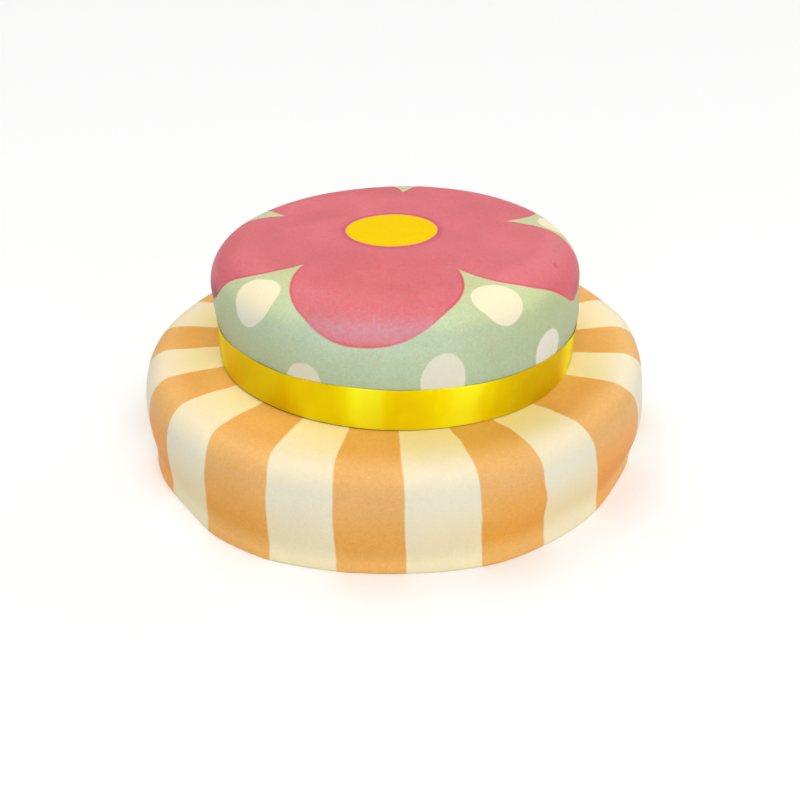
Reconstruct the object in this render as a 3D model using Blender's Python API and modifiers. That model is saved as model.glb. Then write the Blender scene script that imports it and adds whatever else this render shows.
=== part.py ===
"""A round two-tier cake under rolled icing, with a satin ribbon round the foot of its upper tier.

Metres, +Z up. The origin is the middle of the lower tier's underside, and the front faces -Y.
An angle round a tier is in degrees from +X, so the front is at 270 and the left at 180.
"""

import bpy
import numpy as np
from math import cos, pi, radians, sin, tan

# Lower tier: a 28 cm cake.
LOWER_DIAMETER = 0.280  # at its belly, the widest place
LOWER_HEIGHT = 0.0515  # to the top beside the upper tier
LOWER_BELLY_Z = 0.0265
LOWER_EDGE_RADIUS = 0.013  # rounding between top and side
LOWER_EDGE_LEAN = radians(17)  # how far the side leans in where the rounding starts
TUCK_DEPTH = 0.0012  # how far the side draws in above the foot
TUCK_Z = 0.0065
FOOT_FLARE = 0.0010  # the icing's cut edge spreads again on what it stands on
FOOT_LIP = 0.0008  # height of that edge
SEAT_Z = 0.0508  # the flat place that the upper tier stands on
SEAT_MARGIN = 0.003

# Upper tier: a 20 cm cake, a little off the lower one's middle.
UPPER_DIAMETER = 0.1956
UPPER_TOP_Z = 0.1119
UPPER_BELLY_Z = 0.0913
UPPER_EDGE_REACH = 0.0246  # the rounding is wider than it is high
UPPER_FOOT_TAPER = 0.0012
UPPER_CENTRE = (0.0021, -0.0025)
UPPER_FOOT_LIP = 0.0010

# Ribbon: 22 mm satin, wound once round the upper tier.
RIBBON_WIDTH = 0.0217
RIBBON_THICKNESS = 0.0004
RIBBON_FOOT_Z = 0.05145
RIBBON_DROP = 0.00035  # it hangs this much lower on the right, higher on the left
RIBBON_NARROWING = 0.0003  # and slants, so it looks this much narrower there

GAP = 0.0003  # between pieces that touch
STEPS = 96  # facets round each tier, four to a stripe
STRIPES = 24

# Hand-made unevenness, as waves round the tier: (lobes, height, angle of a high place).
LOWER_OUTLINE_WAVES = ((1, 0.0018, 33), (2, 0.0015, 48), (5, 0.0003, 20))
LOWER_FOOT_WAVES = ((1, 0.0005, 262),)
LOWER_TOP_WAVES = ((1, 0.00135, 32), (2, 0.0005, 0), (5, 0.0003, 50))
UPPER_OUTLINE_WAVES = ((1, 0.0004, 185), (2, 0.0011, 66), (3, 0.0002, 10))
UPPER_FOOT_WAVES = ((1, 0.0004, 310), (2, 0.0003, 340), (3, 0.0004, 315))
UPPER_TOP_WAVES = ((2, 0.0006, 37), (3, 0.0002, 80))
# Where the lower tier's foot wanders in and out: (angle, half width in degrees, outwards).
FOOT_RIPPLES = (
    (20, 10, 0.0008),
    (60, 8, -0.0011),
    (95, 9, 0.0010),
    (130, 7, -0.0010),
    (162, 9, 0.0003),
    (178, 9, -0.0008),
    (195, 10, -0.0021),
    (220, 9, -0.0013),
    (234, 7, 0.0017),
    (245, 6, 0.0014),
    (270, 13, -0.0016),
    (291, 6, 0.0007),
    (327, 11, -0.0018),
    (347, 10, -0.0010),
)
# Soft bulges and dents in each tier's side: (angle, half width, z, half height, outwards).
LOWER_RELIEF = (
    (8, 8, 0.046, 0.012, 0.0013),
    (33, 12, 0.046, 0.014, 0.0014),
    (345, 18, 0.017, 0.011, 0.0017),
    (203, 10, 0.010, 0.008, -0.0007),
    (306, 8, 0.016, 0.012, -0.0010),
    (262, 10, 0.034, 0.012, -0.0006),
    (222, 7, 0.014, 0.010, -0.0006),
    (150, 9, 0.020, 0.014, -0.0009),
    (85, 12, 0.018, 0.012, -0.0008),
    (22, 8, 0.020, 0.011, -0.0007),
)
UPPER_RELIEF = (
    (194, 9, 0.071, 0.006, -0.0011),
    (346, 9, 0.069, 0.005, -0.0010),
    (118, 16, 0.080, 0.008, -0.0006),
    (298, 24, 0.0735, 0.012, 0.0009),
)


def clear_scene():
    for old in list(bpy.data.objects):
        bpy.data.objects.remove(old)


def icing(name, colour, roughness=0.5):
    """A plain Principled material."""
    material = bpy.data.materials.new(name)
    material.use_nodes = True
    shader = material.node_tree.nodes["Principled BSDF"]
    shader.inputs["Base Color"].default_value = (*colour, 1.0)
    shader.inputs["Roughness"].default_value = roughness
    shader.inputs["Metallic"].default_value = 0.0
    return material


def arc(centre, reach, start, end, count):
    """Points of an elliptic arc round centre between two angles; reach is its half size in r and z."""
    turns = [start + (end - start) * i / (count - 1) for i in range(count)]
    return [(centre[0] + reach[0] * cos(a), centre[1] + reach[1] * sin(a)) for a in turns]


def drawn_in(from_r, from_z, to_r, to_z, count):
    """Points down a side that starts upright and draws in as the square of the way down."""
    steps = [i / count for i in range(1, count + 1)]
    return [(from_r + (to_r - from_r) * s * s, from_z + (to_z - from_z) * s) for s in steps]


def lower_profile():
    """(r, z) down the lower tier, from the middle of its top to the middle of its underside."""
    belly_r = LOWER_DIAMETER / 2
    seat_r = UPPER_DIAMETER / 2 + SEAT_MARGIN
    edge = LOWER_EDGE_RADIUS
    join_z = LOWER_HEIGHT - edge * (1 - sin(LOWER_EDGE_LEAN))
    join_r = belly_r - tan(LOWER_EDGE_LEAN) * (join_z - LOWER_BELLY_Z) / 2
    centre = (join_r - edge * cos(LOWER_EDGE_LEAN), LOWER_HEIGHT - edge)
    middle_r = (seat_r + centre[0]) / 2
    middle_z = (SEAT_Z + LOWER_HEIGHT) / 2
    top = [(0, SEAT_Z), (seat_r * 0.6, SEAT_Z), (seat_r, SEAT_Z), (middle_r, middle_z)]
    shoulder = arc(centre, (edge, edge), pi / 2, LOWER_EDGE_LEAN, 6)
    upper_side = drawn_in(belly_r, LOWER_BELLY_Z, join_r, join_z, 3)[-2::-1]
    lower_side = drawn_in(belly_r, LOWER_BELLY_Z, belly_r - TUCK_DEPTH, TUCK_Z, 4)
    foot_r = belly_r - TUCK_DEPTH + FOOT_FLARE
    foot = [(foot_r, FOOT_LIP), (foot_r - FOOT_LIP / 2, 0), (belly_r * 0.6, 0), (0, 0)]
    return top + shoulder + upper_side + [(belly_r, LOWER_BELLY_Z)] + lower_side + foot


def upper_profile():
    """(r, z) down the upper tier, as above."""
    belly_r = UPPER_DIAMETER / 2
    flat_r = belly_r - UPPER_EDGE_REACH
    under_z = SEAT_Z + GAP
    edge = (UPPER_EDGE_REACH, UPPER_TOP_Z - UPPER_BELLY_Z)
    shoulder = arc((flat_r, UPPER_BELLY_Z), edge, pi / 2, 0, 9)
    side = drawn_in(belly_r, UPPER_BELLY_Z, belly_r - UPPER_FOOT_TAPER, under_z + UPPER_FOOT_LIP, 5)
    foot = [(belly_r - UPPER_FOOT_TAPER - UPPER_FOOT_LIP, under_z), (belly_r * 0.6, under_z), (0, under_z)]
    top = [(0, UPPER_TOP_Z), (flat_r * 0.4, UPPER_TOP_Z), (flat_r * 0.75, UPPER_TOP_Z)]
    return top + shoulder + side + foot


def upper_side_r(z):
    """The upper tier's radius at height z, below its belly."""
    down = (UPPER_BELLY_Z - z) / (UPPER_BELLY_Z - SEAT_Z - GAP - UPPER_FOOT_LIP)
    return UPPER_DIAMETER / 2 - UPPER_FOOT_TAPER * np.clip(down, 0, 1) ** 2


def ribbon_profile():
    """(r, z) down the ribbon's inner face, which follows the side that it lies on."""
    heights = [RIBBON_FOOT_Z + RIBBON_WIDTH * part for part in (1, 2 / 3, 1 / 3, 0)]
    return [(float(upper_side_r(z)) + GAP, z) for z in heights]


def turned(name, profile):
    """An object that a Screw modifier turns from its profile."""
    mesh = bpy.data.meshes.new(name)
    points = [(r, 0, z) for r, z in profile]
    mesh.from_pydata(points, [(i, i + 1) for i in range(len(points) - 1)], [])
    obj = bpy.data.objects.new(name, mesh)
    screw = obj.modifiers.new("turn", "SCREW")
    screw.steps = screw.render_steps = STEPS
    screw.use_merge_vertices = True
    screw.merge_threshold = 0.00001
    return obj


def waves(turn, table):
    """Sum of height * cos(lobes * (turn - high place)) over the table, with turn in degrees."""
    total = np.zeros_like(turn)
    for lobes, height, high in table:
        total += height * np.cos(np.radians(lobes * (turn - high)))
    return total


def bump(x, middle, half_width):
    """1 at the middle, falling smoothly to almost 0 at twice the half width."""
    return np.exp(-(((x - middle) / half_width) ** 2))


def round_bump(turn, middle, half_width):
    """The same for an angle in degrees, which comes round again after 360."""
    away = (turn - middle + 180) % 360 - 180
    return bump(away, 0, half_width)


def relief(turn, z, table):
    """The outward sum of a table's bulges and dents."""
    out = np.zeros_like(turn)
    for middle, half_width, middle_z, half_height, outwards in table:
        out += outwards * round_bump(turn, middle, half_width) * bump(z, middle_z, half_height)
    return out


def ease(x, start, end):
    """0 before start, 1 after end, and a smooth rise between them."""
    t = np.clip((x - start) / (end - start), 0, 1)
    return t * t * (3 - 2 * t)


def uneven_lower(r, turn, z):
    """How far each point of the lower tier lies out and up from the true round."""
    belly_r = LOWER_DIAMETER / 2
    seat_r = UPPER_DIAMETER / 2 + SEAT_MARGIN
    on_rim = ease(r, seat_r, belly_r - LOWER_EDGE_RADIUS)
    above_foot = ease(z, 0, LOWER_BELLY_Z)
    foot = waves(turn, LOWER_FOOT_WAVES)
    for middle, half_width, outwards in FOOT_RIPPLES:
        foot += outwards * round_bump(turn, middle, half_width)
    out = waves(turn, LOWER_OUTLINE_WAVES) * above_foot + foot * (1 - above_foot)
    out += relief(turn, z, LOWER_RELIEF)
    up = waves(turn, LOWER_TOP_WAVES) * ease(z, LOWER_BELLY_Z, LOWER_HEIGHT - 0.006)
    return out * on_rim, up * on_rim


def uneven_upper(r, turn, z):
    """The same for the upper tier and for the ribbon, which follows it."""
    flat_r = UPPER_DIAMETER / 2 - UPPER_EDGE_REACH
    side = ease(r, 0, flat_r)
    above_ribbon = ease(z, RIBBON_FOOT_Z + RIBBON_WIDTH, UPPER_BELLY_Z)
    foot = waves(turn, UPPER_FOOT_WAVES)
    out = waves(turn, UPPER_OUTLINE_WAVES) * above_ribbon + foot * (1 - above_ribbon)
    out += relief(turn, z, UPPER_RELIEF)
    up = waves(turn, UPPER_TOP_WAVES) * ease(z, UPPER_BELLY_Z - 0.010, UPPER_TOP_Z - 0.004)
    return out * side, up * side


def slanted_ribbon(r, turn, z):
    """The ribbon lies on the uneven side, lower on the right than on the left."""
    out, up = uneven_upper(r, turn, z)
    part_up = (z - RIBBON_FOOT_Z) / RIBBON_WIDTH
    drop = (RIBBON_DROP + RIBBON_NARROWING * part_up) * np.cos(np.radians(turn))
    return out, up - drop


def made_uneven(obj, unevenness):
    """Turns the modifiers' result into the object's own mesh and moves its points."""
    graph = bpy.context.evaluated_depsgraph_get()
    mesh = bpy.data.meshes.new_from_object(obj.evaluated_get(graph))
    obj.modifiers.clear()
    points = np.empty(len(mesh.vertices) * 3, np.float32)
    mesh.vertices.foreach_get("co", points)
    x, y, z = points.reshape(-1, 3).astype(float).T
    r = np.hypot(x, y)
    turn = np.degrees(np.arctan2(y, x))
    out, up = unevenness(r, turn, z)
    scale = 1 + out / np.maximum(r, 1e-6)
    moved = np.stack([x * scale, y * scale, z + up], axis=1)
    mesh.vertices.foreach_set("co", moved.astype(np.float32).ravel())
    mesh.update()
    obj.data = mesh
    mesh.shade_smooth()
    mesh.set_sharp_from_angle(angle=radians(60))


def stripe(obj, cream, orange):
    """Alternating stripes that run out from the middle and down the side."""
    mesh = obj.data
    mesh.materials.clear()
    mesh.materials.append(cream)
    mesh.materials.append(orange)
    for face in mesh.polygons:
        turn = np.degrees(np.arctan2(face.center.y, face.center.x))
        face.material_index = int(turn % 360 / (360 / STRIPES)) % 2


def build():
    clear_scene()
    cake = bpy.data.collections.new("two_tier_cake")
    bpy.context.scene.collection.children.link(cake)
    middle = bpy.data.objects.new("cake_middle", None)
    upper_middle = bpy.data.objects.new("upper_middle", None)
    upper_middle.parent = middle
    upper_middle.location = (*UPPER_CENTRE, 0)

    lower = turned("lower_tier", lower_profile())
    upper = turned("upper_tier", upper_profile())
    ribbon = turned("ribbon", ribbon_profile())
    wall = ribbon.modifiers.new("thickness", "SOLIDIFY")
    wall.thickness = RIBBON_THICKNESS
    wall.offset = 1
    lower.parent = middle
    upper.parent = upper_middle
    ribbon.parent = upper_middle
    for obj in (middle, upper_middle, lower, upper, ribbon):
        cake.objects.link(obj)
    bpy.context.view_layer.update()

    made_uneven(lower, uneven_lower)
    made_uneven(upper, uneven_upper)
    made_uneven(ribbon, slanted_ribbon)
    stripe(lower, icing("cream_icing", (0.88, 0.76, 0.50)), icing("orange_icing", (0.80, 0.42, 0.16)))
    upper.data.materials.append(icing("green_icing", (0.50, 0.60, 0.35)))
    ribbon.data.materials.append(icing("yellow_satin", (0.85, 0.58, 0.02), roughness=0.3))


build()
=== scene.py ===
from math import cos, pi, radians, sin, tan

import bpy
import numpy as np
from mathutils import Matrix


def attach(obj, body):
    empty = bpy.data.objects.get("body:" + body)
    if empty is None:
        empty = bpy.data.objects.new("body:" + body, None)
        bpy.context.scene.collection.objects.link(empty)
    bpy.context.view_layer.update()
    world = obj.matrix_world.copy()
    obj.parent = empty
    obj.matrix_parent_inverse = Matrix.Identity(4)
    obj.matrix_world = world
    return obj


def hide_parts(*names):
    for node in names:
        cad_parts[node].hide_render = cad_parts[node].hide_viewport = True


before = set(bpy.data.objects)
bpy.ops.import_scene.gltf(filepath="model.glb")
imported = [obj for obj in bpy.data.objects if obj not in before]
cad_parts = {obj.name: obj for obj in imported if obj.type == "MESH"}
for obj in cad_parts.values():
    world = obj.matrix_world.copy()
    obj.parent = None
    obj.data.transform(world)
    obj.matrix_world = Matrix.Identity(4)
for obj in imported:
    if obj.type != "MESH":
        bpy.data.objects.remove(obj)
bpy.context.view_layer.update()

# Two-tier cake: an orange and cream striped cake, a smaller one with a flower on it, and a yellow ribbon.
# Metres, +Z up, the front faces -Y. Angles round a tier are in degrees from +X: the front is at 270, the left
# at 180. "Down the icing" is measured along the icing from the middle of a tier's top.


# ---- shape helpers: all work on whole arrays

def waves(turn, table):
    # height * cos(lobes * (turn - high place)), summed over the table
    return sum(height * np.cos(np.radians(lobes * (turn - high))) for lobes, height, high in table)


def bump(x, middle, halfWidth):
    # bell curve: 1 in the middle, 1/e at the half width
    return np.exp(-(((x - middle) / halfWidth) ** 2))


def roundBump(turn, middle, halfWidth):
    # the same bell for an angle, which comes round again after 360
    return bump((turn - middle + 180) % 360 - 180, 0, halfWidth)


def waver(turn, table):
    # size * bell round the tier, summed over the table of directions, half widths and sizes
    return sum(size * roundBump(turn, at, wide) for at, wide, size in table)


def relief(turn, z, table):
    # bulges and dents: a bell round the tier times a bell up its side
    return sum(out * roundBump(turn, at, wide) * bump(z, atZ, high) for at, wide, atZ, high, out in table)


def ease(x, start, end):
    # 0 before start, 1 after end, 3t^2 - 2t^3 between
    t = np.clip((x - start) / (end - start), 0, 1)
    return t * t * (3 - 2 * t)


# hand-made unevenness: how many sine waves, their lobes round the tier, and their radians to a metre along it
hand = {"terms": 14, "lobes": (3, 14), "pulls": (60, 330)}


def ripple(turn, along, strength, seed):
    # slow hand-made unevenness: sin(lobes * turn + pull * along + phase), summed over random waves
    dice = np.random.default_rng(seed)
    terms = hand["terms"]
    lobes, pulls = dice.integers(*hand["lobes"], terms), dice.uniform(*hand["pulls"], terms)
    phases = dice.uniform(0, 2 * pi, terms)
    total = np.zeros(np.broadcast(turn, along).shape)
    for lobe, pull, phase in zip(lobes, pulls, phases):
        total += np.sin(lobe * np.radians(turn) + pull * along * dice.choice([-1, 1]) + phase)
    return strength * total / terms ** 0.5


def joined(*pieces):
    # pieces of a profile end to end, each a pair of arrays (r, z)
    return np.concatenate([np.stack(np.broadcast_arrays(r, z), 1) for r, z in pieces])


def arcLength(profile):
    # way along the profile to each of its points
    return np.r_[0, np.cumsum(np.hypot(*np.diff(profile, axis=0).T))]


poleGap = 0.004  # radius of the first and the last ring of a tier


def ringPlaces(profile, tier):
    # arc lengths of the rings: close together where the tier shows, wide apart on the hidden faces
    length = arcLength(profile)
    fineFrom = tier["fineFrom"]
    fineTo = length[np.argmax(profile[:, 1] < profile[-1, 1] + 1e-6)] + tier["finePast"]
    return np.r_[
        np.linspace(poleGap, fineFrom, tier["ringsBefore"], endpoint=False),
        np.linspace(fineFrom, fineTo, int((fineTo - fineFrom) / tier["ringStep"])),
        np.linspace(fineTo, length[-1] - poleGap, tier["ringsAfter"] + 1)[1:]]


def closedSkin(name, rings, top, bottom):
    # rings is (rings, turns, 3): quads between neighbouring rings, and a fan of triangles to each pole
    count, turns = rings.shape[:2]
    points = np.concatenate([rings.reshape(-1, 3), [top], [bottom]])
    here = np.arange(count * turns).reshape(count, turns)
    on = np.roll(here, -1, axis=1)
    quads = np.stack([here[:-1], here[1:], on[1:], on[:-1]], -1).reshape(-1, 4)
    topFan = np.stack([np.full(turns, count * turns), here[0], on[0]], -1)
    bottomFan = np.stack([np.full(turns, count * turns + 1), on[-1], here[-1]], -1)
    return newPiece(name, points, quads.tolist() + topFan.tolist() + bottomFan.tolist())


def newPiece(name, points, faces):
    # a smooth mesh object, linked to the scene
    mesh = bpy.data.meshes.new(name)
    mesh.from_pydata(points.tolist(), [], faces)
    mesh.shade_smooth()
    piece = bpy.data.objects.new(name, mesh)
    bpy.context.scene.collection.objects.link(piece)
    return piece


def keep(piece, name, values, poles=(0.0, 0.0)):
    # a number for each point, which the piece's material reads as an attribute
    layer = piece.data.attributes.new(name, "FLOAT", "POINT")
    layer.data.foreach_set("value", np.r_[values.ravel(), poles].astype(np.float32))


def turnedTier(name, profile, uneven, tier):
    # point = (r + out) * (cos turn, sin turn), z + up, with r and z read off the profile at each arc length s
    length = arcLength(profile)
    s = ringPlaces(profile, tier)[:, None]
    turn = np.arange(tier["turns"])[None, :] * 360 / tier["turns"]
    r, z = np.interp(s, length, profile[:, 0]), np.interp(s, length, profile[:, 1])
    r, z, turn, s = np.broadcast_arrays(r, z, turn, s)
    out, up = uneven(r, turn, z)
    slope = np.gradient(np.stack([r, z]), axis=1)
    normal = np.stack([-slope[1], slope[0]]) / np.maximum(np.hypot(*slope), 1e-9)
    shown = ease(r, *tier["marksR"]) * ease(z, *tier["marksZ"])
    marks = ripple(turn, s, tier["handMarks"], tier["marksSeed"]) * shown
    markedR, markedZ = r + out + normal[0] * marks, z + up + normal[1] * marks
    x, y = tier["centre"]
    a = np.radians(turn)
    rings = np.stack([x + markedR * np.cos(a), y + markedR * np.sin(a), markedZ], -1)
    piece = closedSkin(name, rings, (x, y, profile[0, 1]), (x, y, profile[-1, 1]))
    keep(piece, "run", s * 1000, (0.0, length[-1] * 1000))
    return piece, turn, s, r


# ---- node helpers

def linear(red, green, blue):
    # screen colour, 0 to 255, to the linear colour that a shader takes
    c = np.array([red, green, blue]) / 255
    return (*np.where(c <= 0.04045, c / 12.92, ((c + 0.055) / 1.055) ** 2.4).tolist(), 1.0)


def newMaterial(name):
    # the material with its node tree and its shader
    material = bpy.data.materials.new(name)
    material.use_nodes = True
    return material.node_tree, material.node_tree.nodes["Principled BSDF"], material


def plug(tree, value, socket):
    # a link where the value is another node's output, and a plain value otherwise
    if isinstance(value, bpy.types.NodeSocket):
        tree.links.new(value, socket)
    else:
        socket.default_value = value


def mathNode(tree, operation, *values, clamp=False):
    # one sum, product or difference of sockets and numbers
    node = tree.nodes.new("ShaderNodeMath")
    node.operation, node.use_clamp = operation, clamp
    for value, socket in zip(values, node.inputs):
        plug(tree, value, socket)
    return node.outputs[0]


def spread(tree, value, low, high, newLow=0.0, newHigh=1.0, kind="SMOOTHSTEP"):
    # low to high becomes newLow to newHigh, and stays there beyond
    node = tree.nodes.new("ShaderNodeMapRange")
    node.interpolation_type = kind
    for number, socket in zip((value, low, high, newLow, newHigh), node.inputs):
        plug(tree, number, socket)
    return node.outputs[0]


def mixed(tree, share, first, second, kind="MIX"):
    # first * (1 - share) + second * share, or first * second where kind is MULTIPLY
    node = tree.nodes.new("ShaderNodeMix")
    node.data_type, node.blend_type = "RGBA", kind
    plug(tree, share, node.inputs[0])
    plug(tree, first, node.inputs[6])
    plug(tree, second, node.inputs[7])
    return node.outputs[2]


def tinted(tree, share, colour, tint):
    # colour * tint where share is 1
    return mixed(tree, share, colour, (*tint, 1), "MULTIPLY")


def ramp(tree, value, stops):
    # colours at stations of the value, running into each other
    first, last = stops[0][0], stops[-1][0]
    node = tree.nodes.new("ShaderNodeValToRGB")
    node.color_ramp.interpolation = "EASE"
    plug(tree, spread(tree, value, first, last, kind="LINEAR"), node.inputs[0])
    points = node.color_ramp.elements
    for number, (station, colour) in enumerate(stops):
        point = points[number] if number < 2 else points.new(1)
        point.position = (station - first) / (last - first)
        point.color = linear(*colour)
    return node.outputs[0]


def stored(tree, name):
    # a number kept for each point of the piece
    node = tree.nodes.new("ShaderNodeAttribute")
    node.attribute_name = name
    return node.outputs["Fac"]


def noise(tree, place, scale, detail=3.0, roughness=0.5):
    # cloudy noise about 0.5, with this many cells to a metre of the place
    node = tree.nodes.new("ShaderNodeTexNoise")
    tree.links.new(place, node.inputs["Vector"])
    for socket, value in (("Scale", scale), ("Detail", detail), ("Roughness", roughness)):
        node.inputs[socket].default_value = value
    return node.outputs["Fac"]


def objectPlace(tree):
    # the point's own place in metres
    return tree.nodes.new("ShaderNodeTexCoord").outputs["Object"]


def bumped(tree, shader, layers):
    # layers of (height socket, depth in metres), each bump lying on the one before
    normal = None
    for height, depth in layers:
        node = tree.nodes.new("ShaderNodeBump")
        node.inputs["Strength"].default_value = 1.0
        node.inputs["Distance"].default_value = depth
        tree.links.new(height, node.inputs["Height"])
        if normal:
            tree.links.new(normal, node.inputs["Normal"])
        normal = node.outputs[0]
    tree.links.new(normal, shader.inputs["Normal"])


# ---- icing and print, as both tiers have them

icing = {
    "specular": 0.2, "subsurface": 0.12, "subsurfaceScale": 0.0025, "subsurfaceRadius": (1.0, 0.65, 0.4),
    # noise as scale, detail and roughness, the part of it that counts, and the depth in metres
    "grain": (1100, 2.0, 0.6), "grainDepth": 0.00005,  # one grain is a bit under a millimetre
    "pits": (420, 3.0, 0.55), "pitRange": (0.30, 0.52), "pitDepth": 0.00006,
    "marks": (75, 3.0, 0.45), "markDepth": 0.00010,
    "patches": (38, 4.0, 0.6), "patchRoughness": (0.3, 0.7, 0.39, 0.51),  # patches from smooth to matt
    "mottle": (400, 3.0, 0.65), "mottleRange": (0.32, 0.68),
    "speckleRange": (0.25, 0.75), "patchShare": 0.7,  # patches vary this much as strongly as grains
    "wobble": (90, 2.0), "wobbleRange": (0.3, 0.7, -0.1, 0.1),  # of a printed edge, in millimetres
}


def icingFinish(tree, shader, place):
    # satin rolled icing: fine sugar grain, shallow pits and the soft marks of smoothing
    grain = noise(tree, place, *icing["grain"])
    pits = spread(tree, noise(tree, place, *icing["pits"]), *icing["pitRange"])
    marks = noise(tree, place, *icing["marks"])
    bumped(tree, shader, [
        (marks, icing["markDepth"]), (pits, icing["pitDepth"]), (grain, icing["grainDepth"])])
    patch = noise(tree, place, *icing["patches"])
    plug(tree, spread(tree, patch, *icing["patchRoughness"]), shader.inputs["Roughness"])
    shader.inputs["Specular IOR Level"].default_value = icing["specular"]
    shader.inputs["Subsurface Weight"].default_value = icing["subsurface"]
    shader.inputs["Subsurface Scale"].default_value = icing["subsurfaceScale"]
    shader.inputs["Subsurface Radius"].default_value = icing["subsurfaceRadius"]
    return grain, patch


def speckled(tree, colour, grain, patch, amount):
    # a touch lighter and darker from grain to grain and from patch to patch
    broadAmount = amount * icing["patchShare"]
    fine = spread(tree, grain, *icing["speckleRange"], 1 - amount, 1 + amount, "LINEAR")
    broad = spread(tree, patch, *icing["speckleRange"], 1 - broadAmount, 1 + broadAmount, "LINEAR")
    node = tree.nodes.new("ShaderNodeVectorMath")
    node.operation = "SCALE"
    tree.links.new(colour, node.inputs[0])
    tree.links.new(mathNode(tree, "MULTIPLY", fine, broad), node.inputs["Scale"])
    return node.outputs[0]


def mottled(tree, place, colour, red, green, blue):
    # each channel times 1 - its share to 1 + its share, over patches of a few millimetres
    patches = spread(tree, noise(tree, place, *icing["mottle"]), *icing["mottleRange"])
    tint = mixed(tree, patches, (1 - red, 1 - green, 1 - blue, 1), (1 + red, 1 + green, 1 + blue, 1))
    return mixed(tree, 1.0, colour, tint, "MULTIPLY")


def printedEdges(tree, place):
    # gives the function that draws an edge: 0 to 1 as a stored distance, plus a small wobble, goes from one
    # value to another
    wobble = spread(tree, noise(tree, place, *icing["wobble"]), *icing["wobbleRange"], "LINEAR")

    def edge(name, zeroAt, oneAt):
        return spread(tree, mathNode(tree, "ADD", stored(tree, name), wobble), zeroAt, oneAt)

    return edge


# ---- lower tier: a 28 cm cake in orange and cream stripes

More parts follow.
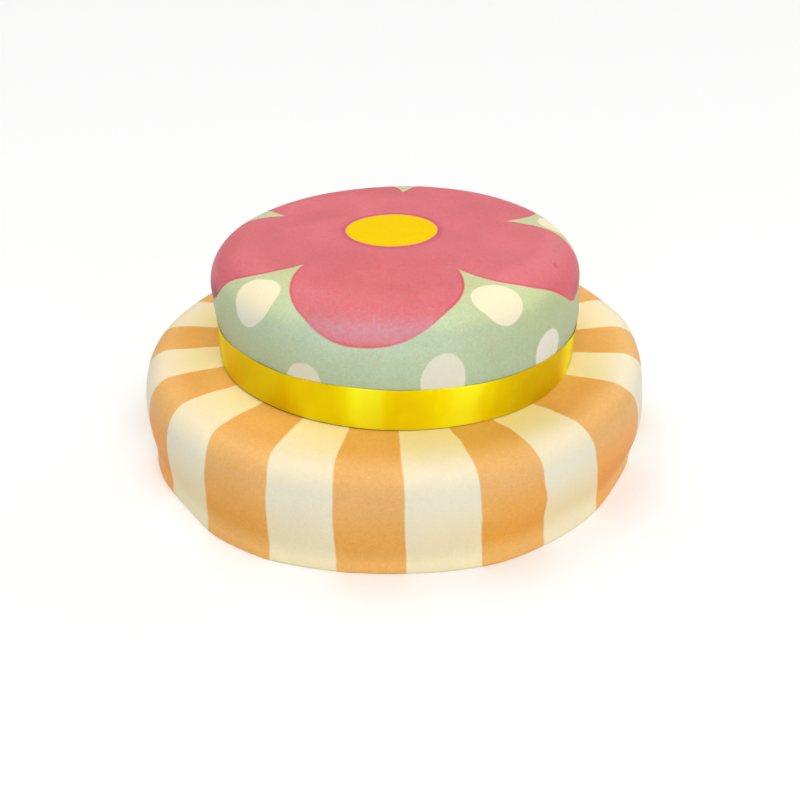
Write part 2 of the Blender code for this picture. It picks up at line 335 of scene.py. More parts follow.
lowerTier = {
    "diameter": 0.280, "height": 0.0515, "bellyZ": 0.0265, "centre": (0, 0),
    "edgeRadius": 0.013, "edgeLean": 17,
    "tuck": 0.0012, "tuckZ": 0.0065, "flare": 0.0010, "lip": 0.0008,
    "flareStart": 1.35,  # times tuckZ
    "seatZ": 0.0508, "seatMargin": 0.003, "topEase": 0.006,
    # the mesh: close rings from this far down the icing to this far past the foot, a few more on either side
    "turns": 480, "ringStep": 0.00078, "fineFrom": 0.094, "finePast": 0.0006,
    "ringsBefore": 10, "ringsAfter": 6,
    "outline": [(1, 0.0018, 33), (2, 0.0015, 48), (5, 0.0003, 20)],
    "foot": [(1, 0.0005, 262)],
    "top": [(1, 0.00135, 32), (2, 0.0005, 0), (5, 0.0003, 50)],
    # where the foot wanders in and out: direction, half width and metres
    "ripples": [
        (20, 10, 0.0008), (60, 8, -0.0011), (95, 9, 0.0010), (130, 7, -0.0010), (162, 9, 0.0003),
        (178, 9, -0.0008), (195, 10, -0.0021), (220, 9, -0.0013), (234, 7, 0.0017), (245, 6, 0.0014),
        (270, 13, -0.0016), (291, 6, 0.0007), (327, 11, -0.0018), (347, 10, -0.0010)],
    # bulges and dents: direction, half width, height of the middle, half height and metres outwards
    "relief": [
        (8, 8, 0.046, 0.012, 0.0013), (33, 12, 0.046, 0.014, 0.0014), (345, 18, 0.017, 0.011, 0.0017),
        (203, 10, 0.010, 0.008, -0.0007), (306, 8, 0.016, 0.012, -0.0010), (262, 10, 0.034, 0.012, -0.0006),
        (222, 7, 0.014, 0.010, -0.0006), (150, 9, 0.020, 0.014, -0.0009), (85, 12, 0.018, 0.012, -0.0008),
        (22, 8, 0.020, 0.011, -0.0007)],
    # marks of smoothing by hand, which fade in over these radii and heights
    "handMarks": 0.00012, "marksSeed": 5, "marksR": (0.098, 0.106), "marksZ": (0.001, 0.006),
    # where the colour changes, orange first; the back goes on evenly
    "stripeEdges": [
        176, 189.4, 203, 215.4, 228.9, 244.3, 258.1, 271.6, 285.8, 298.9, 312.4, 331.6, 346, 360.9],
    "backStripes": 11,
    "stripeBlur": 0.5,  # millimetres over which one colour runs into the other
    # how far the edges lean between two distances down the icing: bells of direction, half width and degrees
    "leans": [
        (0.113, 0.101, [(222, 12, 0.6), (205, 40, 0.35), (300, 19, -1.5)]),
        (0.120, 0.142, [(228, 32, 2.5), (238, 9, 0.3), (297, 8, 0.2), (362, 8, -2.0)]),
        (0.128, 0.158, [(336, 22, 4.0)]),
        (0.146, 0.156, [(297, 9, 0.6)]),
        (0.156, 0.168, [(297, 9, -0.6)]),
        (0.150, 0.180, [
            (205, 11, -4.7), (230, 8, -0.75), (270, 18, 0.35), (286, 7, 0.5), (312, 12, 2.1)])],
    # colours at these millimetres down the icing: from the ribbon over the shoulder to the wall, low on the
    # wall where it glows and where it stays plain, and at the foot. The steps are partly painted light and
    # shade:
    # yellower by the ribbon as its painted reflection, lighter on the shoulder as a painted highlight, duller
    # on the wall as painted shade. The glow is painted warm reflected light, and the foot's lighter rim
    # painted light
    "cream": [(104, (250, 231, 172)), (116, (249, 229, 180)), (127, (246, 230, 194)), (143, (230, 223, 199))],
    "creamGlow": [(167, (233, 213, 166))], "creamPlain": [(170, (230, 219, 186))],
    "creamFoot": [(180, (243, 229, 189))],
    "orange": [(104, (234, 177, 88)), (116, (236, 172, 86)), (127, (239, 182, 105)), (141, (228, 175, 107))],
    "orangeGlow": [(152, (232, 166, 77)), (167, (226, 153, 52))], "orangePlain": [(170, (227, 165, 75))],
    "orangeFoot": [(180, (237, 180, 98))],
    "plainAt": (262, 24),
    "creamMottle": (0.0, 0.005, 0.04), "orangeMottle": (0.0, 0.03, 0.09),
    "creamSpeckle": 0.03, "orangeSpeckle": 0.07,
    # painted tints: the first is painted shade, with a painted yellow reflection of the ribbon, beside it on
    # the right; the second painted light on the right of the top and shoulder; the third painted warm
    # reflected light on the orange low on the wall. Each gives the colour, where it lies round the tier, and
    # the metres down the icing over which it goes or comes
    "shadeTint": (0.89, 0.90, 0.72), "shadeAt": (300, 28), "shadeGoes": (0.110, 0.136),
    "paintedLightTint": (1.03, 1.08, 1.14), "paintedLightAt": (348, 15), "paintedLightGoes": (0.120, 0.145),
    "warmReflectionTint": (1.13, 0.80, 0.28), "warmReflectionAt": [(206, 11, 1.0), (322, 14, 0.36)], "warmReflectionComes": (0.134, 0.162),
}


def lowerProfile():
    # r and z from the top's middle to the underside's: flat seat, slow rise, quarter round, a side that
    # bows out to the belly as a square law, a tuck below it, and the spread edge of the icing
    t = lowerTier
    belly, edge, lean = t["diameter"] / 2, t["edgeRadius"], radians(t["edgeLean"])
    seat = upperTier["diameter"] / 2 + t["seatMargin"]
    joinZ = t["height"] - edge * (1 - sin(lean))
    joinR = belly - tan(lean) * (joinZ - t["bellyZ"]) / 2
    roundR, roundZ = joinR - edge * cos(lean), t["height"] - edge
    part = np.linspace(0, 1, 121)
    later = part[1:]
    corner = pi / 2 + (lean - pi / 2) * later
    lowZ = t["bellyZ"] + (t["lip"] - t["bellyZ"]) * later
    down = np.minimum((t["bellyZ"] - lowZ) / (t["bellyZ"] - t["tuckZ"]), 1)
    spreadOut = t["flare"] * ease(-lowZ, -t["flareStart"] * t["tuckZ"], -t["lip"])
    footR = belly - t["tuck"] + t["flare"]
    roll = later * pi / 2
    return joined(
        (seat * part, t["seatZ"]),
        (seat + (roundR - seat) * later, t["seatZ"] + (t["height"] - t["seatZ"]) * ease(later, 0, 1)),
        (roundR + edge * np.cos(corner), roundZ + edge * np.sin(corner)),
        (belly + (joinR - belly) * (1 - later) ** 2, t["bellyZ"] + (joinZ - t["bellyZ"]) * (1 - later)),
        (belly - t["tuck"] * down ** 2 + spreadOut, lowZ),
        (footR - t["lip"] / 2 * (1 - np.cos(roll)), t["lip"] * (1 - np.sin(roll))),
        ((footR - t["lip"] / 2) * (1 - later), 0.0))


def lowerUneven(r, turn, z):
    # how far out and up a point lies from the true round: the foot's waves run into the outline's above it
    t = lowerTier
    onRim = ease(r, upperTier["diameter"] / 2 + t["seatMargin"], t["diameter"] / 2 - t["edgeRadius"])
    aboveFoot = ease(z, 0, t["bellyZ"])
    foot = waves(turn, t["foot"]) + waver(turn, t["ripples"])
    out = waves(turn, t["outline"]) * aboveFoot + foot * (1 - aboveFoot) + relief(turn, z, t["relief"])
    up = waves(turn, t["top"]) * ease(z, t["bellyZ"], t["height"] - t["topEase"])
    return out * onRim, up * onRim


def stripeDistance(turn, s, r):
    # sin(pi * stripes passed) is positive on orange and falls through 0 at each edge; times the width it is
    # millimetres
    t = lowerTier
    shown = t["stripeEdges"]
    edges = np.r_[shown, np.linspace(shown[-1], shown[0] + 360, t["backStripes"] + 1)[1:]]
    drift = sum(waver(turn, bells) * ease(s, start, end) for start, end, bells in t["leans"])
    from0 = (turn - drift - edges[0]) % 360 + edges[0]
    passed = np.interp(from0, edges, np.arange(len(edges)))
    width = np.interp(from0, (edges[1:] + edges[:-1]) / 2, np.diff(edges))
    return np.sin(pi * passed) / pi * np.radians(width) * r * 1000


def stripedMaterial():
    # cream and orange down the icing, told apart by the distance to a stripe's edge, then the painted tints
    # of shade, light and warm reflection
    tree, shader, material = newMaterial("stripedIcing")
    t = lowerTier
    place = objectPlace(tree)
    grain, patch = icingFinish(tree, shader, place)
    run = stored(tree, "run")

    def striped(name):
        # glow: painted warm reflected light low on the wall, left out where the plain mask holds
        glow, plain = (
            ramp(tree, run, t[name] + t[name + low] + t[name + "Foot"]) for low in ("Glow", "Plain"))
        colour = mottled(tree, place, mixed(tree, stored(tree, "plain"), glow, plain), *t[name + "Mottle"])
        return speckled(tree, colour, grain, patch, t[name + "Speckle"])

    onOrange = printedEdges(tree, place)("stripe", -t["stripeBlur"], t["stripeBlur"])
    # painted warm reflected light on the orange low on the wall
    orange = tinted(tree, stored(tree, "warmReflection"), striped("orange"), t["warmReflectionTint"])
    colour = mixed(tree, onOrange, striped("cream"), orange)
    # painted shade with the ribbon's painted yellow reflection beside it, then painted light on the right of
    # the top
    for name in ("shade", "paintedLight"):
        colour = tinted(tree, stored(tree, name), colour, t[name + "Tint"])
    tree.links.new(colour, shader.inputs["Base Color"])
    return material


def stripedCake():
    # the turned tier, with the distance to the stripes' edges, where the painted glow stays out, and each
    # painted tint's strength kept in its points
    t = lowerTier
    piece, turn, s, r = turnedTier("lowerCake", lowerProfile(), lowerUneven, t)
    keep(piece, "stripe", stripeDistance(turn, s, r))
    keep(piece, "plain", roundBump(turn, *t["plainAt"]))
    keep(piece, "shade", roundBump(turn, *t["shadeAt"]) * (1 - ease(s, *t["shadeGoes"])))
    keep(piece, "paintedLight", roundBump(turn, *t["paintedLightAt"]) * (1 - ease(s, *t["paintedLightGoes"])))
    keep(piece, "warmReflection", waver(turn, t["warmReflectionAt"]) * ease(s, *t["warmReflectionComes"]))
    piece.data.materials.append(stripedMaterial())
    return piece


# ---- upper tier: a 20 cm cake with a flower over it

upperTier = {
    "diameter": 0.1956, "topZ": 0.1119, "bellyZ": 0.0913,
    "edgeReach": 0.0246, "footTaper": 0.0012, "lip": 0.0010, "underZ": 0.0511,
    "centre": (0.0021, -0.0025), "bellyEase": 0.010, "topEase": 0.004,
    "turns": 480, "ringStep": 0.00076, "fineFrom": 0.004, "finePast": -0.020,
    "ringsBefore": 0, "ringsAfter": 16,
    "outline": [(1, 0.0004, 185), (2, 0.0011, 66), (3, 0.0002, 10)],
    "foot": [(1, 0.0004, 310), (2, 0.0003, 340), (3, 0.0004, 315)],
    "top": [(2, 0.0006, 37), (3, 0.0002, 80)],
    "relief": [
        (194, 9, 0.071, 0.006, -0.0011), (346, 9, 0.069, 0.005, -0.0010), (118, 16, 0.080, 0.008, -0.0006),
        (298, 24, 0.0735, 0.012, 0.0009)],
    "handMarks": 0.00006, "marksSeed": 11, "marksR": (0.010, 0.060), "marksZ": (0.070, 0.078),
}


def upperProfile():
    # flat top, elliptical shoulder, a side that tapers as a square law, a small lip under the ribbon
    t = upperTier
    belly, foot = t["diameter"] / 2, t["diameter"] / 2 - t["footTaper"]
    flat, rise, lip = belly - t["edgeReach"], t["topZ"] - t["bellyZ"], t["lip"]
    part = np.linspace(0, 1, 141)
    later = part[1:]
    corner, roll = (1 - later) * pi / 2, later * pi / 2
    return joined(
        (flat * part, t["topZ"]),
        (flat + t["edgeReach"] * np.cos(corner), t["bellyZ"] + rise * np.sin(corner)),
        (belly - t["footTaper"] * later ** 2, t["bellyZ"] + (t["underZ"] + lip - t["bellyZ"]) * later),
        (foot - lip * (1 - np.cos(roll)), t["underZ"] + lip * (1 - np.sin(roll))),
        ((foot - lip) * (1 - later), t["underZ"]))


def upperUneven(r, turn, z):
    # how far out and up a point lies from the true round: the foot's waves run into the outline's above the
    # ribbon
    t = upperTier
    side = ease(r, 0, t["diameter"] / 2 - t["edgeReach"])
    above = ease(z, satin["footZ"] + satin["width"], t["bellyZ"])
    out = waves(turn, t["outline"]) * above + waves(turn, t["foot"]) * (1 - above)
    out = out + relief(turn, z, t["relief"])
    up = waves(turn, t["top"]) * ease(z, t["bellyZ"] - t["bellyEase"], t["topZ"] - t["topEase"])
    return out * side, up * side


def upperSideR(z):
    # the upper tier's radius below its belly
    t = upperTier
    down = (t["bellyZ"] - z) / (t["bellyZ"] - t["underZ"] - t["lip"])
    return t["diameter"] / 2 - t["footTaper"] * np.clip(down, 0, 1) ** 2


# the printed pattern, in millimetres on the flat sheet of icing
flower = {
    "shift": (0.00225, 0.0),  # of the flower from the tier's middle, to the left, in metres
    # petals: direction, radius, and where the outline swells: direction from the petal's middle, half width
    # and millimetres
    "petalReach": 66,
    "petals": [
        (264.7, 39.0, [
            (-97, 14, -0.7), (-87, 12, -0.3), (-51, 8, -0.75), (-45, 40, 0.9), (-22, 12, 0.6), (40, 9, 0.4),
            (45, 20, -1.8), (59, 9, -0.5), (97, 10, -0.4)]),
        (336.5, 39.5, [
            (-90, 16, 2.3), (-59, 9, 0.4), (-48, 20, -1.8), (-26, 18, -0.55), (0, 24, 6.5), (45, 18, 3.5),
            (84, 24, -4.6)]),
        (192.5, 40.0, [(94, 16, 2.15), (58, 13, -1.6), (39, 8, 0.8), (20, 24, 4.8), (-90, 16, -3.9)]),
        (120.5, 40.9, [(-88, 8, -0.5), (84, 16, 0.45)]),
        (48.5, 40.2, [(-100, 8, -0.4), (-92, 18, 2.9), (-66, 12, 0.4), (98, 10, -0.7)])],
    "petalBlend": 2, "petalLimit": 30,  # how softly petals meet, and how far their edges count
    "heart": 52,  # the petals run together inside this radius
    "discMiddle": (-0.1, 0.6), "discRadius": 24.2,
    # dots: direction, distance down the icing, half length, half width, tilt, and where the outline swells
    "dots": [
        (227.5, 94.1, 11.4, 13.3, 47, [
            (45, 16, -0.5), (91, 17, 1.0), (142, 18, -0.9), (180, 14, -0.25), (215, 17, 0.5), (256, 16, -0.6),
            (310, 25, 0.6)]),
        (301.4, 92.2, 10.2, 12.9, -35, [
            (30, 20, 0.7), (75, 18, -0.5), (133, 20, 0.7), (210, 25, -0.5), (272, 16, 0.45),
            (326, 22, -1.2)]),
        (9.6, 90.2, 9.0, 12.0, -38, [(35, 22, -1.1), (158, 22, 0.6)]),
        (84.2, 93.4, 11.0, 12.8, 0),
        (156.4, 94.0, 11.4, 13.2, -15),
        (244.5, 129.5, 11.4, 14.2, 35, [(82, 14, -0.8), (122, 12, 0.4), (192, 18, -0.35)]),
        (282.8, 124.2, 14.3, 12.8, -4, [(170, 18, 0.4), (230, 16, -0.6)]),
        (316.9, 124.6, 9.3, 12.5, 22, [(62, 14, -0.6), (140, 10, -0.35), (225, 25, 0.9)]),
        (353.6, 127.0, 12.6, 12.6, 0),
        (30.0, 126.0, 13.2, 12.8, 10),
        (66.4, 127.5, 12.4, 12.8, 0),
        (102.0, 126.5, 13.4, 12.6, -8),
        (138.6, 127.0, 12.2, 12.9, 0),
        (173.8, 126.0, 13.2, 12.4, 12)],
    "smudge": (333.3, 90.4, 1.4, 1.9, 30),  # one small dark place in the print: an oval as above
    "outside": 50.0,  # farther than this from an edge is all the same
    "blur": 0.45,
    # greens at these millimetres down the icing, round the sides and at the front: darker down the side as
    # painted shade, paler and cooler at the front as a painted highlight
    "green": [
        (76, (211, 214, 169)), (94, (204, 211, 156)), (103, (184, 194, 144)), (118, (178, 190, 149)),
        (130, (168, 181, 147))],
    "greenFront": [
        (76, (206, 212, 150)), (94, (202, 218, 176)), (103, (191, 209, 182)), (118, (186, 206, 175)),
        (130, (182, 200, 166))],
    "frontAt": (260, 40), "frontComes": (0.014, 0.045),
    # the dots turn greyer down the icing: painted shade
    "dot": (252, 239, 200), "dotSide": (225, 224, 206), "dotFade": (93, 108),
    # the pink is a touch deeper at the front: painted shade
    "petal": (226, 121, 128), "petalFront": (223, 116, 121),
    # washes over the pink, print and painted light: colour and how its strength follows the distance that
    # each goes by
    "petalLow": (217, 104, 113), "lowFade": (78, 98),  # painted shade where the side petals turn down
    "petalEdge": (220, 84, 100), "edgeFade": (-1.8, -0.4, 0, 0.8),
    # painted shade on the petal tips at 204 and 338 degrees, at these millimetres down the icing
    "petalTipShade": (150, 38, 66), "tipShadeAt": [(204, 9, 1.1), (338, 6, 0.45)], "tipShade": (106.5, 4.2),
    "halo": (214, 86, 132), "haloFade": (4.5, 0.3, 0, 0.8),  # round the disc
    "petalMark": (190, 62, 74), "markFade": (0.9, -1.6, 0, 0.75),
    # painted highlight on the front petal's rim: directions, millimetres down the icing, and the noise that
    # breaks it into specks
    "petalHighlight": (213, 149, 159), "rimHighlightAt": (264, 26), "rimHighlight": (98.4, 5.5),
    "highlightSpeckle": (520, 3.0, 0.6), "highlightSpeckleRange": (0.3, 0.7, 0.68, 1.0),
    "disc": (255, 213, 0), "discShine": (1, 0.85, 0.1, 1),
    "petalMottle": (-0.01, 0.06, 0.09), "greenMottle": (-0.02, 0.03, 0.07),
    "petalSpeckle": 0.08, "greenSpeckle": 0.08, "dotSpeckle": 0.03,
}


def ovalDistance(u, v, direction, distance, along, across, tilt, swells=()):
    # (length of (a / along, b / across) - 1) * mean radius - bells round it, with a and b measured from the
    # oval's middle along its own axes
    turn, own = radians(direction), radians(direction + tilt)
    du, dv = u - distance * cos(turn), v - distance * sin(turn)
    a, b = du * cos(own) + dv * sin(own), dv * cos(own) - du * sin(own)
    plain = (np.hypot(a / along, b / across) - 1) * (along + across) / 2
    return plain - waver(np.degrees(np.arctan2(b, a)), swells)


def petalDistance(u, v, direction, radius, swells):
    # distance from the petal's middle - (radius + bells round it)
    turn = radians(direction)
    du, dv = u - flower["petalReach"] * cos(turn), v - flower["petalReach"] * sin(turn)
    return np.hypot(du, dv) - radius - waver(np.degrees(np.arctan2(dv, du)) - direction, swells)


def flowerDistances(turn, s):
    # the icing is a flat printed sheet laid over the tier: u and v are the point's place in that sheet
    t = flower
    u = (s * np.cos(np.radians(turn)) + t["shift"][0]) * 1000
    v = (s * np.sin(np.radians(turn)) + t["shift"][1]) * 1000
    each = np.array([petalDistance(u, v, *petal) for petal in t["petals"]])
    petals = np.minimum(each.min(axis=0), np.hypot(u, v) - t["heart"])
    # -blend * log(sum of exp(-distance / blend)): the least of them, without a seam where two petals meet
    blend, limit = t["petalBlend"], t["petalLimit"]
    blended = -blend * np.log(np.exp(-each.clip(-limit, limit) / blend).sum(axis=0))
    dots = np.min([ovalDistance(u, v, *dot) for dot in t["dots"]], axis=0)
    middleU, middleV = t["discMiddle"]
    disc = np.hypot(u - middleU, v - middleV) - t["discRadius"]
    return petals, np.minimum(blended, petals), dots, disc, ovalDistance(u, v, *t["smudge"])


def flowerMaterial():
    # green ground, dots on it, the pink flower over them and the yellow disc on top
    tree, shader, material = newMaterial("flowerIcing")
    t = flower
    place = objectPlace(tree)
    grain, patch = icingFinish(tree, shader, place)
    run, front = stored(tree, "run"), stored(tree, "front")
    drawEdge = printedEdges(tree, place)
    onDot, onPetal, onDisc = (
        drawEdge(name, t["blur"], -t["blur"]) for name in ("dotGap", "petalGap", "discGap"))

    # green: painted shade down the side, painted highlight at the front
    green = mixed(tree, front, ramp(tree, run, t["green"]), ramp(tree, run, t["greenFront"]))
    green = mottled(tree, place, green, *t["greenMottle"])
    # dots: painted shade down the side
    dot = mixed(tree, spread(tree, run, *t["dotFade"]), linear(*t["dot"]), linear(*t["dotSide"]))

    # a touch deeper pink at the front: painted shade
    pink = mixed(tree, front, linear(*t["petal"]), linear(*t["petalFront"]))
    aside = mathNode(tree, "SUBTRACT", 1.0, front, clamp=True)
    # noise that breaks the painted highlight on the front rim into specks
    highlightSpeckle = spread(tree, noise(tree, place, *t["highlightSpeckle"]), *t["highlightSpeckleRange"])
    # washes: the side petals' darker pink and the tips' are painted shade, the pale specks on the front rim a
    # painted highlight; the edge, the halo and the mark are print
    washes = [
        ("petalLow", mathNode(tree, "MULTIPLY", aside, spread(tree, run, *t["lowFade"]))),
        ("petalEdge", spread(tree, stored(tree, "petalRim"), *t["edgeFade"])),
        ("petalTipShade", stored(tree, "tipShade")),
        ("halo", spread(tree, stored(tree, "discGap"), *t["haloFade"])),
        ("petalMark", spread(tree, stored(tree, "smudge"), *t["markFade"])),
        ("petalHighlight", mathNode(tree, "MULTIPLY", stored(tree, "rimHighlight"), highlightSpeckle))]
    for name, share in washes:
        pink = mixed(tree, share, pink, linear(*t[name]))
    pink = mottled(tree, place, pink, *t["petalMottle"])

    green, dot, pink = (
        speckled(tree, colour, grain, patch, t[name + "Speckle"])
        for colour, name in ((green, "green"), (dot, "dot"), (pink, "petal")))
    colour = mixed(tree, onPetal, mixed(tree, onDot, green, dot), pink)
    colour = mixed(tree, onDisc, colour, linear(*t["disc"]))
    tree.links.new(colour, shader.inputs["Base Color"])
    # the yellow print shines yellow too
    tree.links.new(mixed(tree, onDisc, (1, 1, 1, 1), t["discShine"]), shader.inputs["Specular Tint"])
    return material


def flowerCake():
    # the turned tier, with the distances to the print's edges and each painted shade's and highlight's
    # strength kept in its points
    t = flower
    piece, turn, s, _ = turnedTier("upperCake", upperProfile(), upperUneven, upperTier)
    petalGap, petalRim, dotGap, discGap, smudge = flowerDistances(turn, s)
    outside = t["outside"]
    for name, gap, top in (
            ("petalGap", petalGap, -outside), ("petalRim", petalRim, -outside), ("dotGap", dotGap, outside),
            ("discGap", discGap, -outside), ("smudge", smudge, outside)):
        keep(piece, name, gap, (top, outside))
    # where the front's painted highlight on the green and deeper painted pink come in
    keep(piece, "front", roundBump(turn, *t["frontAt"]) * ease(s, *t["frontComes"]))
    # painted shade on the petal tips
    keep(piece, "tipShade", waver(turn, t["tipShadeAt"]) * bump(s * 1000, *t["tipShade"]))
    # painted highlight on the front petal's rim
    keep(piece, "rimHighlight", roundBump(turn, *t["rimHighlightAt"]) * bump(s * 1000, *t["rimHighlight"]))
    piece.data.materials.append(flowerMaterial())
    return piece


# ---- ribbon: 22 mm satin, wound once round the upper tier, its ends lapped at the back

satin = {
    "width": 0.0219, "footZ": 0.05125, "drop": 0.00035, "narrowing": 0.0003,
    # direction, half width and metres: where the lower edge stands out and where the upper edge lies higher
    "footOut": [(212, 15, 0.0010), (312, 18, 0.0011)],
    "topUp": [(239, 8, -0.0005), (298, 30, 0.0002)],
    "standOff": 0.0001, "thickness": 0.00035,
    # degrees: where it starts, how far its ends lap, and how far from the start the upper end climbs
    "start": 96, "lap": 9, "lapRise": (352, 359), "lapGap": 0.00012,
    # edges: how much thinner, how wide, and the seam beside them: its place and half width as shares of the
    # ribbon's width, and its height
    "edgeThinning": 0.75, "edgeWidth": 0.012, "selvedge": (0.045, 0.02), "selvedgeHeight": 0.00006,
    # slack: metres, waves round the tier, where they start, and how they turn up the width
    "slack": [(0.00012, 11, 40, 0), (0.00008, 17, 0, 2.5)], "slackFoot": 0.4,
    "steps": 900, "across": 24, "sharpFrom": 60,
    # the satin's colour from the deep gold between gleams to the bright lemon of a full painted gleam
    "colours": [(0.0, (238, 202, 0)), (0.25, (249, 217, 0)), (0.6, (255, 233, 0)), (1.0, (255, 250, 34))],
    # painted highlight bands, fixed to the ribbon: direction, half width and strength
    "paintedGleams": [
        (222, 30, 0.26), (256, 20, 0.2), (262.5, 6.5, 0.9), (288.2, 10, 0.96), (244, 5.5, 0.5),
        (203, 5, 0.75), (331, 4.2, 1.08),
        (15, 8, 0.5), (48, 10, 0.8), (75, 6, 0.4), (110, 12, 0.7), (140, 7, 0.4), (168, 9, 0.6)],
    # and where painted warm reflected light makes it warmer
    "warmReflectionTint": (1.17, 1.0, 0.5), "warmReflectionAt": [(202, 7, 1.0), (214, 4, 0.5), (244.5, 5, 0.85), (330, 4, 0.7)],
    "threadsAlong": 600, "threadsOver": 7000, "threads": (1.0, 2.0, 0.6), "threadDepth": 0.00003,
    "threadRoughness": (0.3, 0.7, 0.40, 0.47),
    # slow noise that shifts the painted gleam a little
    "slow": (45, 3.0), "slowPaintedGleam": (0.35, 0.65, -0.08, 0.08), "speckle": 0.04,
    "metallic": 0.5, "specular": 0.25, "specularTint": (1.0, 0.82, 0.1, 1),
    "anisotropic": 0.95, "anisotropicTurn": 0.25,  # light runs across the ribbon, over its threads
}


def satinMaterial():
    # satin: threads float along the ribbon, so light spreads across it and stays narrow along it
    tree, shader, material = newMaterial("yellowSatin")
    t = satin
    cloth = tree.nodes.new("ShaderNodeUVMap")
    cloth.uv_map = "cloth"
    split = tree.nodes.new("ShaderNodeSeparateXYZ")
    tree.links.new(cloth.outputs[0], split.inputs[0])
    stretched = tree.nodes.new("ShaderNodeCombineXYZ")
    plug(tree, mathNode(tree, "MULTIPLY", split.outputs[0], t["threadsAlong"]), stretched.inputs[0])
    plug(tree, mathNode(tree, "MULTIPLY", split.outputs[1], t["threadsOver"]), stretched.inputs[1])
    threads = noise(tree, stretched.outputs[0], *t["threads"])
    slow = noise(tree, cloth.outputs[0], *t["slow"])
    # the painted gleam, wandering with slow noise, picks the satin's colour: a painted highlight
    paintedGleam = mathNode(tree, "ADD", stored(tree, "paintedGleam"), spread(tree, slow, *t["slowPaintedGleam"]))
    # painted warm reflected light on the satin
    colour = tinted(tree, stored(tree, "warmReflection"), ramp(tree, paintedGleam, t["colours"]), t["warmReflectionTint"])
    tree.links.new(speckled(tree, colour, threads, slow, t["speckle"]), shader.inputs["Base Color"])
    bumped(tree, shader, [(threads, t["threadDepth"])])
    plug(tree, spread(tree, threads, *t["threadRoughness"]), shader.inputs["Roughness"])
    shader.inputs["Metallic"].default_value = t["metallic"]
    shader.inputs["Specular IOR Level"].default_value = t["specular"]
    shader.inputs["Specular Tint"].default_value = t["specularTint"]
    shader.inputs["Anisotropic"].default_value = t["anisotropic"]
    shader.inputs["Anisotropic Rotation"].default_value = t["anisotropicTurn"]
    tangent = tree.nodes.new("ShaderNodeTangent")
    tangent.direction_type, tangent.uv_map = "UV_MAP", "cloth"
    tree.links.new(tangent.outputs[0], shader.inputs["Tangent"])
    return material


def woundRibbon():
    # a thin flat section carried round the tier: point = (side radius + stand-off + how far through the
    # cloth) along the turn, z down the width; the last few degrees climb over the ribbon's own beginning
    t = satin
    turn = np.linspace(t["start"], t["start"] + 360 + t["lap"], t["steps"])[:, None]
    across = np.linspace(0, 1, t["across"])
    fromEdge = 0.5 - np.abs(across - 0.5)
    full = 1 - t["edgeThinning"] * bump(fromEdge, 0, t["edgeWidth"])
    selvedge = t["selvedgeHeight"] * bump(fromEdge, *t["selvedge"])
    outer, inner = t["thickness"] * (0.5 + 0.5 * full) + selvedge, t["thickness"] * (0.5 - 0.5 * full)
    through = np.r_[outer, inner[::-1]][None, :]
    part = 1 - np.r_[across, across[::-1]][None, :]
    z = t["footZ"] + t["width"] * part
    riseFrom, riseTo = t["lapRise"]
    lifted = (t["thickness"] + t["lapGap"]) * ease(turn, t["start"] + riseFrom, t["start"] + riseTo)
    slack = sum(
        far * np.sin(np.radians(lobes * turn + first) + lean * part)
        for far, lobes, first, lean in t["slack"])
    slack = slack * (t["slackFoot"] + (1 - t["slackFoot"]) * part)
    r = upperSideR(z) + t["standOff"] + through + lifted + slack
    out, up = upperUneven(*np.broadcast_arrays(r, turn, z))
    out = out + waver(turn, t["footOut"]) * (1 - part) ** 2
    slant = (t["drop"] + t["narrowing"] * part) * np.cos(np.radians(turn))
    up = up - slant + waver(turn, t["topUp"]) * part
    a = np.radians(turn)
    x, y = upperTier["centre"]
    points = np.stack(np.broadcast_arrays(x + (r + out) * np.cos(a), y + (r + out) * np.sin(a), z + up), -1)
    steps, ring = points.shape[:2]
    here = np.arange(steps * ring).reshape(steps, ring)
    on = np.roll(here, -1, axis=1)
    quads = np.stack([here[:-1], here[1:], on[1:], on[:-1]], -1).reshape(-1, 4)[:, ::-1]

    def endCap(row):
        # quads between the section's outer side and its inner side, which runs back
        back, half = row[::-1], ring // 2
        return np.stack([row[:half - 1], row[1:half], back[1:half], back[:half - 1]], -1)

    ends = np.concatenate([endCap(here[0]), endCap(here[-1])[:, ::-1]])
    piece = newPiece("satinRibbon", points.reshape(-1, 3), quads.tolist() + ends.tolist())
    mesh = piece.data
    mesh.set_sharp_from_angle(angle=radians(t["sharpFrom"]))
    run = np.r_[0, np.cumsum(np.linalg.norm(np.diff(points[:, 0], axis=0), axis=1))]
    flat = np.stack(np.broadcast_arrays(run[:, None], t["width"] * part), -1).reshape(-1, 2)
    corner = np.empty(len(mesh.loops), np.int32)
    mesh.loops.foreach_get("vertex_index", corner)
    mesh.uv_layers.new(name="cloth").uv.foreach_set("vector", flat[corner].astype(np.float32).ravel())
    # the painted gleam and the painted warm reflection, fixed to the ribbon, kept in its points
    for name, table in (("paintedGleam", "paintedGleams"), ("warmReflection", "warmReflectionAt")):
        keep(piece, name, np.broadcast_to(waver(turn, t[table]), (steps, ring)), ())
    mesh.materials.append(satinMaterial())
    return piece, float(run[-1])


# ---- pieces

lowerCake = stripedCake()
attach(lowerCake, "root")
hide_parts("lower_tier")
print("lower tier made:", len(lowerCake.data.polygons), "faces")

upperCake = flowerCake()
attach(upperCake, "root")
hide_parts("upper_tier")
print("upper tier made:", len(upperCake.data.polygons), "faces")

satinRibbon, ribbonLength = woundRibbon()
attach(satinRibbon, "root")
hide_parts("ribbon")
print("ribbon made:", round(ribbonLength, 3), "m long")


# ---- floor, light and camera

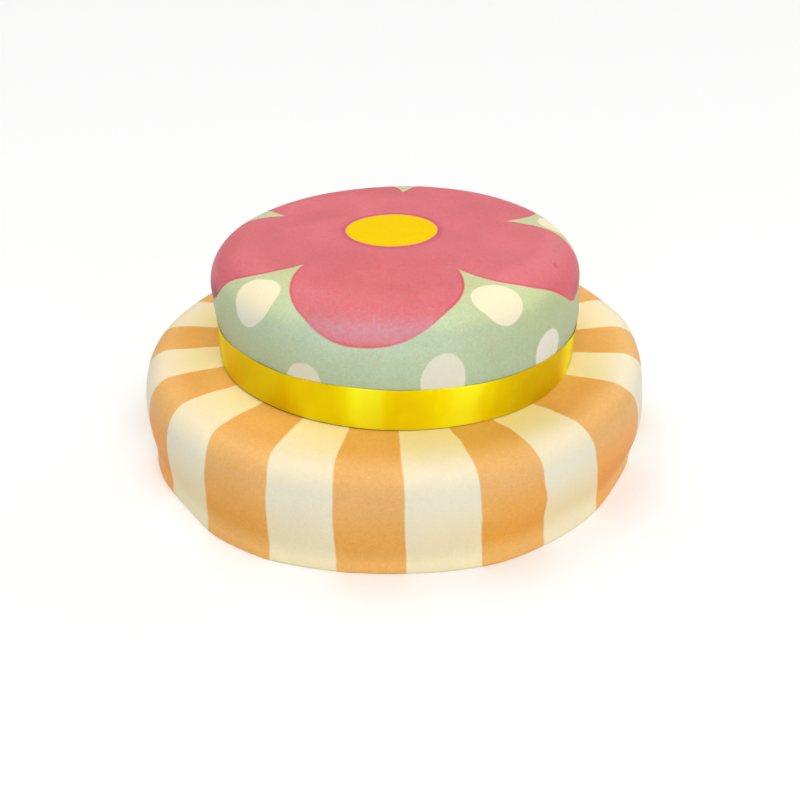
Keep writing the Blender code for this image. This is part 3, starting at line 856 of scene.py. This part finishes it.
studio = {
    "floor": (0.97, 0.97, 0.965), "floorRoughness": 0.9, "floorHalf": 40, "floorZ": -0.0002,
    "world": (1, 1, 1, 1), "worldStrength": 0.06,
    "aim": (0, 0, 0.06),
    # sunlight through wide windows: direction round, height as an angle, softness in degrees, strength
    "windows": [(135, 60, 45, 1.18), (270, 60, 45, 0.90), (315, 60, 45, 1.11), (45, 30, 45, 0.49)],
    "windowDistance": 3,
    # softboxes: direction round, height as an angle, distance, width, height, power
    "softboxes": [(249, 12, 1.5, 0.15, 0.6, 2.1), (304, 12, 1.5, 0.30, 0.6, 2.1)],
}


def lampAt(name, light, turn, lift, distance, power):
    # aims a white lamp at the cake from a direction round it and a height
    light.energy = power
    lamp = bpy.data.objects.new(name, light)
    a, b = radians(turn), radians(lift)
    lamp.location = np.array(studio["aim"]) + distance * np.array([cos(a) * cos(b), sin(a) * cos(b), sin(b)])
    lamp.rotation_euler = (pi / 2 - b, 0, a + pi / 2)
    bpy.context.scene.collection.objects.link(lamp)


for number, (turn, lift, softness, strength) in enumerate(studio["windows"]):
    sun = bpy.data.lights.new(f"window{number}", "SUN")
    sun.angle = radians(softness)
    lampAt(f"window{number}", sun, turn, lift, studio["windowDistance"], strength)
for number, (turn, lift, distance, width, height, power) in enumerate(studio["softboxes"]):
    box = bpy.data.lights.new(f"softbox{number}", "AREA")
    box.shape, box.size, box.size_y = "RECTANGLE", width, height
    lampAt(f"softbox{number}", box, turn, lift, distance, power)

world = bpy.data.worlds.new("paleRoom")
world.use_nodes = True
world.node_tree.nodes["Background"].inputs["Color"].default_value = studio["world"]
world.node_tree.nodes["Background"].inputs["Strength"].default_value = studio["worldStrength"]
bpy.context.scene.world = world

half, floorZ = studio["floorHalf"], studio["floorZ"]
floorMesh = bpy.data.meshes.new("paleFloor")
corners = [(x * half, y * half, floorZ) for x, y in ((-1, -1), (1, -1), (1, 1), (-1, 1))]
floorMesh.from_pydata(corners, [], [(0, 1, 2, 3)])
paleFloor = bpy.data.objects.new("paleFloor", floorMesh)
bpy.context.scene.collection.objects.link(paleFloor)
tree, shader, floorMaterial = newMaterial("paleFloor")
shader.inputs["Base Color"].default_value = (*studio["floor"], 1)
shader.inputs["Roughness"].default_value = studio["floorRoughness"]
floorMesh.materials.append(floorMaterial)

lens = {
    "focal": 33.717, "sensor": 36, "nearest": 0.01, "shift": (0.00883, 0.00063),
    "from": (0, -0.3817, 0.24597), "down": 32.30, "roll": -0.275,
}
camera = bpy.data.cameras.new("camera")
camera.lens, camera.sensor_width, camera.clip_start = lens["focal"], lens["sensor"], lens["nearest"]
camera.shift_x, camera.shift_y = lens["shift"]
viewer = bpy.data.objects.new("camera", camera)
viewer.matrix_world = (
    Matrix.Translation(lens["from"]) @ Matrix.Rotation(pi / 2 - radians(lens["down"]), 4, "X")
    @ Matrix.Rotation(radians(lens["roll"]), 4, "Z"))
bpy.context.scene.collection.objects.link(viewer)
bpy.context.scene.camera = viewer
bpy.context.scene.view_settings.view_transform = "Standard"
print("floor, light and camera ready")
